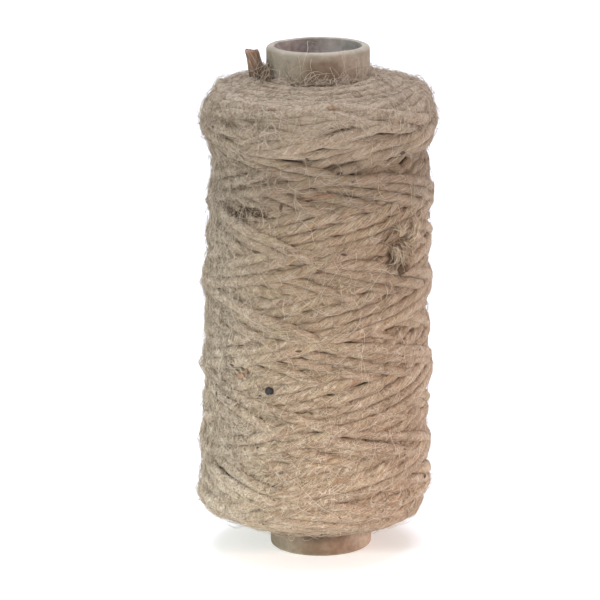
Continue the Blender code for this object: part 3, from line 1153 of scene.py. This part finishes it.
# Hairs that stand clear, each where it shows. A place is an angle, a height and a distance over
# the turns, and by the tube it is an angle, a radius and a height.
STRAY_POINTS = 16
Draped = namedtuple("Draped", "angle height over")
Clear = namedtuple("Clear", "angle radius height")
STRAYS_ON_TURNS = (
    (Draped(-17.0, 82.6, 0.0), Draped(-17.5, 79.6, 1.0),
     Draped(-16.6, 76.6, 0.8), Draped(-19.5, 74.6, 0.1)),
    (Draped(-35.0, 108.1, 0.0), Draped(-30.5, 106.6, 1.4),
     Draped(-29.5, 103.1, 1.6), Draped(-33.5, 101.1, 0.2)),
    (Draped(-26.0, 107.1, 0.0), Draped(-22.0, 105.1, 1.2),
     Draped(-24.5, 102.1, 1.0), Draped(-28.0, 102.6, 0.1)),
    (Draped(-42.0, 103.6, 0.0), Draped(-37.5, 105.1, 1.0),
     Draped(-36.0, 101.6, 0.8), Draped(-31.0, 99.1, 0.0)),
    (Draped(23.5, 69.6, 0.0), Draped(21.8, 65.6, 1.0),
     Draped(22.0, 60.6, 1.2), Draped(23.5, 56.1, 0.1)),
    (Draped(19.5, 68.1, 0.0), Draped(22.6, 64.1, 0.9),
     Draped(24.0, 59.1, 0.9), Draped(22.8, 56.1, 0.0)),
    (Draped(-12.0, 130.6, 0.0), Draped(-14.5, 127.6, 1.6),
     Draped(-19.0, 124.1, 1.2), Draped(-23.0, 123.6, 0.0)),
    (Draped(-8.5, 122.6, 0.0), Draped(-7.0, 120.1, 1.0),
     Draped(-5.5, 116.1, 1.0), Draped(-6.5, 113.1, 0.0)),
    (Draped(38.0, 107.6, 0.0), Draped(36.0, 103.6, 1.2),
     Draped(31.0, 101.6, 1.0), Draped(27.0, 103.6, 0.0)),
    (Draped(-2.0, 36.6, 0.0), Draped(-8.0, 34.1, 1.0),
     Draped(-9.0, 29.6, 1.2), Draped(-4.0, 27.1, 0.0)),
    (Draped(27.5, 90.3, 0.1), Draped(34.0, 89.5, 0.6),
     Draped(39.0, 87.6, 0.8), Draped(43.5, 85.3, 0.1)),
    (Draped(64.0, 92.6, 0.0), Draped(70.0, 89.1, 2.0),
     Draped(71.0, 84.1, 2.2), Draped(66.0, 80.6, 0.2)),
    (Draped(-76.0, 90.6, 0.0), Draped(-83.0, 87.1, 2.2),
     Draped(-84.0, 81.6, 2.0), Draped(-78.0, 78.6, 0.2)),
)
STRAYS_AT_TUBE = (
    (Clear(62, 17.4, 145.0), Clear(38, 17.2, 145.9), Clear(22, 17.4, 144.2), Clear(26, 17.4, 142.5),
     Clear(41, 17.8, 142.0), Clear(60, 18.0, 141.2)),
    (Clear(-21, 15.9, 149.3), Clear(-18, 16.4, 146.0),
     Clear(-19, 16.6, 143.6), Clear(-24, 18.0, 141.4)),
    (Clear(-177, 11.8, 148.4), Clear(-100, 3.0, 150.9),
     Clear(-12, 13.8, 151.0), Clear(-14, 16.4, 148.0),
     Clear(-16, 16.4, 145.2)),
    (Clear(25, 15.2, 150.6), Clear(26, 16.2, 147.6),
     Clear(28, 16.6, 144.5), Clear(29, 18.0, 141.2)),
    (Clear(30, 15.2, 150.7), Clear(28, 16.3, 147.5),
     Clear(26, 16.6, 144.4), Clear(31, 18.0, 141.4)),
    (Clear(-7, 15.6, 148.4), Clear(-8, 16.2, 146.6), Clear(-6, 15.8, 144.8)),
    (Clear(-10, 19.0, 140.6), Clear(-12, 17.8, 143.2),
     Clear(-5, 17.0, 144.9), Clear(-1, 18.2, 141.6)),
    (Clear(12, 15.9, 146.0), Clear(16, 17.2, 143.0), Clear(21, 19.0, 140.4)),
    (Clear(-136, 12.4, 150.2), Clear(-137, 12.0, 146.0), Clear(-134, 12.4, 141.0)),
    (Clear(-69, 17.0, 147.0), Clear(-72, 18.6, 144.6),
     Clear(-70, 18.4, 142.4), Clear(-66, 18.6, 140.4)),
    (Clear(-60, 16.2, 146.2), Clear(-70, 19.2, 144.0), Clear(-80, 21.4, 142.6)),
    (Clear(-58, 17.0, 141.4), Clear(-66, 19.4, 143.0), Clear(-79, 21.2, 144.2)),
    (Clear(70, 16.0, 144.5), Clear(78, 17.6, 143.4), Clear(88, 19.0, 141.2)),
)
FRONT_AND_UP = (0.0, -0.97, 0.24)


def evenly_along(knots):
    """A smooth curve through the knots, at STRAY_POINTS places. Gives each column by itself."""
    smooth = smooth_curve(knots, steps=12)
    even = np.linspace(0, len(smooth) - 1, STRAY_POINTS)
    return [np.interp(even, np.arange(len(smooth)), column) for column in smooth.T]


stray_points = []
stray_out = []
for route in STRAYS_ON_TURNS:
    angle, height, over = evenly_along(route)
    stray_up = height * MM + SIDE_OFFSET
    points, out = draped(np.radians(angle)[None], stray_up[None], over[None] * MM)
    stray_points.append(points)
    stray_out.append(out)
for route in STRAYS_AT_TUBE:
    knots = [on_roll(math.radians(c.angle), c.radius * MM, c.height * MM) for c in route]
    stray_points.append(np.stack(evenly_along(knots), axis=-1)[None])
    stray_out.append(np.broadcast_to(FRONT_AND_UP, (1, STRAY_POINTS, 3)))
strays = len(stray_points)
piece = hair_piece(
    "stray_hair",
    np.concatenate(stray_points),
    np.concatenate(stray_out),
    hair_rng.uniform(0.055, 0.085, strays) * MM,
    hair_rng.uniform(0.6, 0.95, strays),
    hair,
)

# Finer curls of the same hair stand up against the tube all round it, and a few hang below it.
CLINGING_HAIRS = 720
CLINGING_POINTS = 6
HAIR_OFF_TUBE = 0.25 * MM
HANGING_SHARE = 0.14
HANGS_FROM = 8.6 * MM
clinging_angle = hair_rng.uniform(-math.pi, math.pi, CLINGING_HAIRS)
hangs = hair_rng.random(CLINGING_HAIRS) < HANGING_SHARE
clinging_step = hair_rng.gamma(4.0, 0.17, CLINGING_HAIRS) * MM
clinging_reach = hair_rng.gamma(2.0, 1.3, CLINGING_HAIRS) * MM + 1 * MM
heading = hair_rng.uniform(0.0, 1.0, CLINGING_HAIRS) * math.pi
curl = hair_rng.normal(0, 0.55, CLINGING_HAIRS)
climbed = np.zeros(CLINGING_HAIRS)
stand_off = hair_rng.gamma(1.6, 0.75, CLINGING_HAIRS) * MM
root_height = hair_rng.uniform(140.4, 142.0, CLINGING_HAIRS) * MM
clinging = []
for k in range(CLINGING_POINTS):
    share = k / (CLINGING_POINTS - 1)
    away = HAIR_OFF_TUBE + stand_off * math.sin(math.pi * (0.35 + 0.65 * share))
    height = np.where(hangs, HANGS_FROM - 0.5 * climbed, root_height + climbed)
    clinging.append(on_roll(clinging_angle, TUBE_OUTER_RADIUS + away, height))
    clinging_angle = clinging_angle + clinging_step * np.cos(heading) / TUBE_OUTER_RADIUS
    climbed = np.clip(climbed + clinging_step * np.sin(heading), -0.5 * MM, clinging_reach)
    heading = heading + curl + hair_rng.normal(0, 0.25, CLINGING_HAIRS)
clinging = np.stack(clinging, axis=1)
piece = hair_piece(
    "clinging_hair",
    clinging,
    unit(clinging * (1, 1, 0)),
    hair_rng.uniform(0.045, 0.085, CLINGING_HAIRS) * MM,
    hair_rng.uniform(0.55, 1.00, CLINGING_HAIRS),
    hair,
)


# The frayed outer end
# The last end of the twine, cut and then rubbed open. Past a brown root it falls apart into
# fluffy locks: two up, two down to the right. Two locks of dark fibres lie as painted shade in
# the hollow at their left and under their tip.

LOCK_POINTS = 8
LOCK_HAIRS = 80
Waist = namedtuple("Waist", "angle height half_width lift")
Lock = namedtuple("Lock", "pale waists")
LOCKS = (
    # Dark fibres as painted shade in the hollow at the locks' left.
    Lock(pale=0.16, waists=(
        Waist(angle=40.0, height=94.2, half_width=0.5, lift=0.3),
        Waist(angle=40.6, height=91.8, half_width=1.2, lift=0.7),
        Waist(angle=41.5, height=89.2, half_width=1.0, lift=0.7),
    )),
    # Dark fibres as painted shade in the hollow under the locks' tip.
    Lock(pale=0.10, waists=(
        Waist(angle=43.0, height=89.4, half_width=0.4, lift=0.6),
        Waist(angle=45.0, height=88.1, half_width=0.6, lift=0.8),
        Waist(angle=47.5, height=88.6, half_width=0.6, lift=0.7),
        Waist(angle=48.5, height=90.4, half_width=0.4, lift=0.5),
    )),
    Lock(pale=0.46, waists=(
        Waist(angle=33.5, height=97.0, half_width=1.0, lift=0.6),
        Waist(angle=36.5, height=97.7, half_width=1.5, lift=1.3),
        Waist(angle=40.0, height=98.0, half_width=1.8, lift=1.8),
        Waist(angle=45.0, height=96.8, half_width=1.6, lift=1.5),
    )),
    Lock(pale=0.28, waists=(
        Waist(angle=37.0, height=98.6, half_width=1.2, lift=1.2),
        Waist(angle=41.5, height=97.8, half_width=1.7, lift=1.9),
        Waist(angle=46.0, height=97.4, half_width=1.5, lift=1.9),
    )),
    Lock(pale=0.78, waists=(
        Waist(angle=43.0, height=98.2, half_width=0.9, lift=1.9),
        Waist(angle=44.0, height=100.4, half_width=1.3, lift=2.0),
        Waist(angle=44.5, height=102.6, half_width=1.0, lift=1.2),
    )),
    Lock(pale=0.76, waists=(
        Waist(angle=49.0, height=96.0, half_width=1.3, lift=1.9),
        Waist(angle=53.0, height=98.0, half_width=2.2, lift=2.5),
        Waist(angle=55.5, height=100.2, half_width=2.5, lift=2.3),
        Waist(angle=57.5, height=102.2, half_width=2.2, lift=1.3),
    )),
    Lock(pale=0.74, waists=(
        Waist(angle=44.0, height=97.0, half_width=1.4, lift=1.9),
        Waist(angle=48.5, height=95.2, half_width=1.9, lift=2.4),
        Waist(angle=52.0, height=92.8, half_width=1.9, lift=2.0),
        Waist(angle=55.0, height=90.2, half_width=1.5, lift=1.0),
    )),
    Lock(pale=0.82, waists=(
        Waist(angle=40.5, height=96.4, half_width=1.6, lift=1.9),
        Waist(angle=44.0, height=93.8, half_width=2.3, lift=2.5),
        Waist(angle=45.5, height=91.4, half_width=2.1, lift=2.4),
        Waist(angle=45.0, height=89.0, half_width=1.2, lift=1.2),
    )),
)


def frayed_material():
    frayed = Shader("frayed_end", 0.85, Specular_IOR_Level=0.15, Sheen_Weight=0.1, Sheen_Tint=WARM)
    colour = frayed.ramp(
        frayed.stored("tone"),
        [
            (0.0, (0.100, 0.058, 0.035)),
            (0.3, (0.310, 0.212, 0.132)),
            (0.65, (0.510, 0.390, 0.262)),
            (1.0, (0.690, 0.580, 0.440)),
        ],
    )
    frayed.colour(colour)
    return frayed.material


def lock_of_hair(waists, loose=1.7):
    """Hairs that follow a lock's middle line, each a part of the way. Returns places and depth.

    Their tips stray aside by about loose, in millimetres.
    """
    line = smooth_curve(waists, steps=12)
    along = np.linspace(0, 1, len(line))
    start = hair_rng.uniform(0, 0.6, LOCK_HAIRS)[:, None]
    end = start + hair_rng.uniform(0.25, 0.6, LOCK_HAIRS)[:, None]
    share = np.linspace(0, 1, LOCK_POINTS)[None, :]
    travel = np.minimum(start + (end - start) * share, 1.06)
    angle, height, half_width, lift = (np.interp(travel, along, column) for column in line.T)
    line_angle = np.radians(line[:, 0]) * outline_radius(line[:, 1] * MM + SIDE_OFFSET)
    heading = np.arctan2(np.gradient(line[:, 1] * MM), np.gradient(line_angle))
    heading = np.interp(travel, along, heading)
    across = hair_rng.uniform(-1, 1, LOCK_HAIRS)[:, None]
    depth = np.sqrt(np.maximum(0, 1 - across**2)) * hair_rng.uniform(0, 1, LOCK_HAIRS)[:, None] ** 0.6
    wave = 0.35 * np.sin(travel * hair_rng.uniform(8, 26, LOCK_HAIRS)[:, None] + across * 9)
    escape = hair_rng.normal(0, loose, LOCK_HAIRS)[:, None] * share**2
    sideways = (across * half_width + wave + escape) * MM
    beyond = np.maximum(travel - 1, 0) * 12 * MM
    path_up = height * MM + SIDE_OFFSET + sideways * np.cos(heading) + beyond * np.sin(heading)
    path_angle = np.radians(angle) - sideways * np.sin(heading) / outline_radius(path_up)
    over = lift * MM * (0.1 + depth) + hair_rng.normal(0, 0.12, LOCK_HAIRS)[:, None] * MM
    return path_angle, path_up, over, depth[:, 0]


tuft_points = []
tuft_out = []
tuft_tone = []
for lock in LOCKS:
    path_angle, path_up, over, depth = lock_of_hair(lock.waists)
    points, out = draped(path_angle, path_up, over)
    tuft_points.append(points)
    tuft_out.append(out)
    # Hairs that lie lower in a lock are painted darker, as the shade of the hairs over them.
    tuft_tone.append(lock.pale * (0.55 + 0.50 * depth) + hair_rng.normal(0, 0.13, LOCK_HAIRS))
tuft = hair_piece(
    "frayed_outer_end",
    np.concatenate(tuft_points),
    np.concatenate(tuft_out),
    hair_rng.uniform(0.060, 0.130, len(LOCKS) * LOCK_HAIRS) * MM,
    np.clip(np.concatenate(tuft_tone), 0, 1),
    frayed_material(),
)
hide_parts("outer_end")


# Dark fibres of bark
# Where the stalk's bark wasn't stripped off, its dark stiff fibres lie netted in a gap between
# the turns at the upper left, and tangle round the foot of the starting end.

NETS = (
    (
        Waist(angle=-67.0, height=107.2, half_width=0.3, lift=0.2),
        Waist(angle=-60.0, height=105.9, half_width=0.6, lift=0.3),
        Waist(angle=-53.0, height=104.9, half_width=1.0, lift=0.3),
        Waist(angle=-46.0, height=104.3, half_width=0.9, lift=0.3),
        Waist(angle=-40.0, height=103.7, half_width=0.4, lift=0.2),
    ),
    (
        Waist(angle=-50.0, height=106.4, half_width=0.7, lift=0.2),
        Waist(angle=-42.0, height=106.2, half_width=1.0, lift=0.2),
        Waist(angle=-34.0, height=105.8, half_width=0.9, lift=0.2),
        Waist(angle=-28.0, height=106.0, half_width=0.4, lift=0.2),
    ),
)
net_points = []
net_out = []
for waists in NETS:
    path_angle, path_up, over, _ = lock_of_hair(waists, loose=0.7)
    points, out = draped(path_angle, path_up, over)
    net_points.append(points)
    net_out.append(out)
nets = len(NETS) * LOCK_HAIRS
bark_fibres = frayed_material()
piece = hair_piece(
    "netted_bark_fibres",
    np.concatenate(net_points),
    np.concatenate(net_out),
    hair_rng.uniform(0.045, 0.085, nets) * MM,
    np.where(hair_rng.random(nets) < 0.85, 0.0, 0.6),
    bark_fibres,
)

WEB_FIBRES = 150
web_share = np.linspace(0, 1, LOCK_POINTS)[None, :]


def web_ends(angles, radii, heights):
    """One end of each fibre, anywhere between these places by the tube."""
    return on_roll(
        np.radians(hair_rng.uniform(*angles, WEB_FIBRES)),
        hair_rng.uniform(*radii, WEB_FIBRES) * MM,
        hair_rng.uniform(*heights, WEB_FIBRES) * MM,
    )


web_foot = web_ends(angles=(-84, -50), radii=(16.4, 19.5), heights=(140.6, 141.8))
web_head = web_ends(angles=(-80, -58), radii=(15.6, 17.6), heights=(142.5, 146.5))
web = web_foot[:, None] * (1 - web_share[..., None]) + web_head[:, None] * web_share[..., None]
sway = hair_rng.normal(0, 0.5, (WEB_FIBRES, 1, 3)) * MM * np.sin(math.pi * web_share)[..., None]
piece = hair_piece(
    "tangled_bark_fibres",
    web + sway,
    np.broadcast_to(FRONT_AND_UP, web.shape),
    hair_rng.uniform(0.055, 0.105, WEB_FIBRES) * MM,
    np.where(hair_rng.random(WEB_FIBRES) < 0.8, hair_rng.uniform(0.0, 0.2, WEB_FIBRES), 0.8),
    bark_fibres,
)


# Bits of bark and seed
# Plain jute isn't combed clean, so flakes of its brown bark, small hard knots and one round black
# seed are caught under its hairs.

FLAKE_SIDES = 8
FLAKE_RINGS = 9
Flake = namedtuple("Flake", "angle height length width turn tone")
FLAKES = (
    Flake(angle=-43.0, height=57.6, length=3.4, width=1.9, turn=12, tone=0.72),
    Flake(angle=-39.0, height=59.2, length=2.2, width=0.9, turn=70, tone=0.66),
    Flake(angle=45.0, height=122.8, length=2.3, width=1.3, turn=-10, tone=0.12),
    Flake(angle=9.5, height=118.4, length=1.8, width=0.9, turn=5, tone=0.10),
    Flake(angle=1.0, height=112.0, length=7.5, width=1.1, turn=7, tone=0.62),
    Flake(angle=-8.0, height=111.0, length=4.0, width=0.8, turn=12, tone=0.55),
    Flake(angle=-46.5, height=112.6, length=2.4, width=0.6, turn=85, tone=0.45),
    Flake(angle=-62.0, height=129.6, length=1.6, width=0.8, turn=0, tone=0.08),
    Flake(angle=-25.0, height=137.4, length=2.6, width=0.8, turn=4, tone=0.60),
    Flake(angle=6.0, height=138.2, length=3.0, width=1.1, turn=-8, tone=0.70),
    Flake(angle=12.0, height=95.2, length=1.8, width=0.7, turn=-15, tone=0.10),
    Flake(angle=-9.0, height=67.2, length=2.2, width=0.6, turn=6, tone=0.15),
    Flake(angle=-52.0, height=50.2, length=1.6, width=0.7, turn=-8, tone=0.06),
    Flake(angle=70.0, height=23.6, length=2.2, width=0.8, turn=20, tone=0.20),
)
RANDOM_FLAKES = 130
RANDOM_THICK = 0.25 * MM
THICK_FOR_WIDTH = 0.45
FLAKE_PROUD = 0.05 * MM
flake_rng = np.random.default_rng(31)


def flake_material():
    flake = Shader("bark_flake", 0.8, Specular_IOR_Level=0.3)
    colour = flake.ramp(
        flake.stored("tone"),
        [
            (0.0, (0.040, 0.030, 0.026)),
            (0.35, (0.120, 0.070, 0.045)),
            (0.7, (0.330, 0.190, 0.115)),
            (1.0, (0.480, 0.310, 0.190)),
        ],
    )
    streaks = flake.noise(flake.own_place(), 1400.0, 3.0, 0.6)
    streaky = flake.between(streaks, 0.35, 0.65, 0.0, 0.5)
    flake.colour(flake.mix(streaky, colour, (0.10, 0.066, 0.045)))
    flake.relief(streaks, 0.15 * MM, 0.7)
    return flake.material


def caught_rings(angle, height, length, width, thick, turn, rough, proud, rings):
    """Rings of a long flat bit with pointed ends, lying on the turns."""
    share = np.linspace(-0.985, 0.985, rings)
    size = np.sqrt(1 - share**2)
    up = height + SIDE_OFFSET + share * length / 2 * math.sin(turn)
    path_angle = angle + share * length / 2 * math.cos(turn) / outline_radius(up)
    over = look_up(skin, path_angle, up)
    over = (over + over.max()) / 2 + proud
    middle, out = surface(path_angle, up, over)
    along = np.gradient(middle, axis=0)
    side = unit(np.cross(out, along))
    corner = np.arange(FLAKE_SIDES) / FLAKE_SIDES * 2 * math.pi
    jag = 1 + flake_rng.uniform(-rough, rough, (rings, FLAKE_SIDES))
    across = width / 2 * size[:, None] * np.cos(corner) * jag
    outward = thick / 2 * size[:, None] * np.sin(corner) * jag
    return middle[:, None] + across[..., None] * side[:, None] + outward[..., None] * out[:, None]


flakes = Bundle(FLAKE_SIDES)
for f in FLAKES:
    rings = caught_rings(
        math.radians(f.angle),
        f.height * MM,
        f.length * MM,
        f.width * MM,
        thick=THICK_FOR_WIDTH * f.width * MM,
        turn=math.radians(f.turn),
        rough=0.18,
        proud=FLAKE_PROUD,
        rings=FLAKE_RINGS,
    )
    flakes.add(rings, tone=np.full(rings.shape[0] * FLAKE_SIDES, f.tone))
for _ in range(RANDOM_FLAKES):
    length = flake_rng.gamma(3.0, 0.38) * MM + 0.4 * MM
    rings = caught_rings(
        flake_rng.uniform(-math.pi, math.pi),
        flake_rng.uniform(13, 134) * MM,
        length,
        length * flake_rng.uniform(0.2, 0.5),
        thick=RANDOM_THICK,
        turn=flake_rng.normal(0, 0.5),
        rough=0.2,
        proud=FLAKE_PROUD,
        rings=6,
    )
    flakes.add(rings, tone=np.full(rings.shape[0] * FLAKE_SIDES, flake_rng.uniform(0.0, 0.75)))
piece = flakes.piece("bark_flakes", flake_material())
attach(piece, "root")

SEED_SIZE = 2.5 * MM
SEED_ANGLE = math.radians(-25)
SEED_HEIGHT = 54.4 * MM


def seed_material():
    husk = Shader("seed_husk", 0.55, Specular_IOR_Level=0.25)
    wrinkles = husk.noise(husk.own_place(), 1500.0, 3.0, 0.6)
    husk.colour(husk.ramp(wrinkles, [(0.35, (0.010, 0.009, 0.009)), (0.65, (0.034, 0.030, 0.029))]))
    husk.relief(wrinkles, 0.2 * MM, 0.8)
    return husk.material


seed = Bundle(FLAKE_SIDES)
seed.add(
    caught_rings(
        SEED_ANGLE,
        SEED_HEIGHT,
        SEED_SIZE * 1.1,
        SEED_SIZE,
        thick=SEED_SIZE * 0.8,
        turn=math.radians(10),
        rough=0.03,
        proud=0.35 * MM,
        rings=14,
    )
)
piece = seed.piece("black_seed", seed_material())
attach(piece, "root")


# The studio
# A pale floor, soft light from all sides, and a long lens a metre away, a little above the roll.

def studio_floor():
    floor_look = Shader("floor", 0.6, Specular_IOR_Level=0.2, Emission_Strength=0.30)
    floor_look.principled.inputs["Emission Color"].default_value = (1.0, 1.0, 1.0, 1.0)
    grain = floor_look.noise(floor_look.own_place(), 6.0)
    floor_look.colour(floor_look.ramp(grain, [(0.3, (0.86, 0.86, 0.86)), (0.7, (0.88, 0.88, 0.88))]))
    size = 6.0
    corners = np.array([(-size, -size, 0), (size, -size, 0), (size, size, 0), (-size, size, 0)])
    floor = new_piece("floor", corners, np.array([(0, 1, 2, 3)]), floor_look.material)


def lamp(kind, name, place, aim, size, watts, colour):
    light = bpy.data.lights.new(name, kind)
    light.energy = watts
    light.color = colour
    if kind == "AREA":
        light.shape = "DISK"
        light.size = size
    else:
        light.shadow_soft_size = size
    holder = bpy.data.objects.new(name, light)
    holder.location = place
    x, y, z = (a - p for a, p in zip(aim, place))
    holder.rotation_euler = (math.atan2(math.hypot(x, y), -z), 0, math.atan2(y, x) - math.pi / 2)
    bpy.context.scene.collection.objects.link(holder)
    return light


studio_floor()
MIDDLE = (0, 0, 0.075)
lamp("AREA", "overhead", (0, 0.1, 2.2), MIDDLE, 2.0, 60, (0.77, 0.83, 1.0))
# A feathered spot from each side, aimed low, so that the light falls off towards the top.
FOOT = (0, 0, -0.04)
for name, x, watts, colour in (
    ("left_spot", -0.85, 67, (0.88, 1.0, 0.98)),
    ("right_spot", 0.85, 52, (1.0, 0.725, 0.63)),
):
    spot = lamp("SPOT", name, (x, -0.75, 0.40), FOOT, 0.12, watts, colour)
    spot.spot_size = math.radians(16)
    spot.spot_blend = 1.0

world = bpy.data.worlds.new("studio")
world.use_nodes = True
world.node_tree.nodes["Background"].inputs["Color"].default_value = (1.0, 1.0, 1.0, 1.0)
world.node_tree.nodes["Background"].inputs["Strength"].default_value = 0.5
bpy.context.scene.world = world
bpy.context.scene.view_settings.view_transform = "Standard"

# The photograph's frame is 600 pixels wide and high. The lens points at AXIS_X, AXIS_Y in it.
FRAME_PIXELS = 600
AXIS_X = 319.5
AXIS_Y = 301.9
FOCAL_PIXELS = 3617
SENSOR = 36.0
lens = bpy.data.cameras.new("camera")
lens.sensor_width = SENSOR
lens.lens = SENSOR * FOCAL_PIXELS / FRAME_PIXELS
lens.shift_x = (FRAME_PIXELS / 2 - AXIS_X) / FRAME_PIXELS
lens.shift_y = (AXIS_Y - FRAME_PIXELS / 2) / FRAME_PIXELS
lens.clip_start = 0.05
camera = bpy.data.objects.new("camera", lens)
camera.location = (0, -1.032, 0.324)
CAMERA_PITCH = math.radians(13.64)
CAMERA_ROLL = math.radians(-0.336)
camera.rotation_mode = "XYZ"
camera.rotation_euler = (math.pi / 2 - CAMERA_PITCH, 0, 0)
camera.rotation_euler.rotate_axis("Z", CAMERA_ROLL)
bpy.context.scene.collection.objects.link(camera)
bpy.context.scene.camera = camera
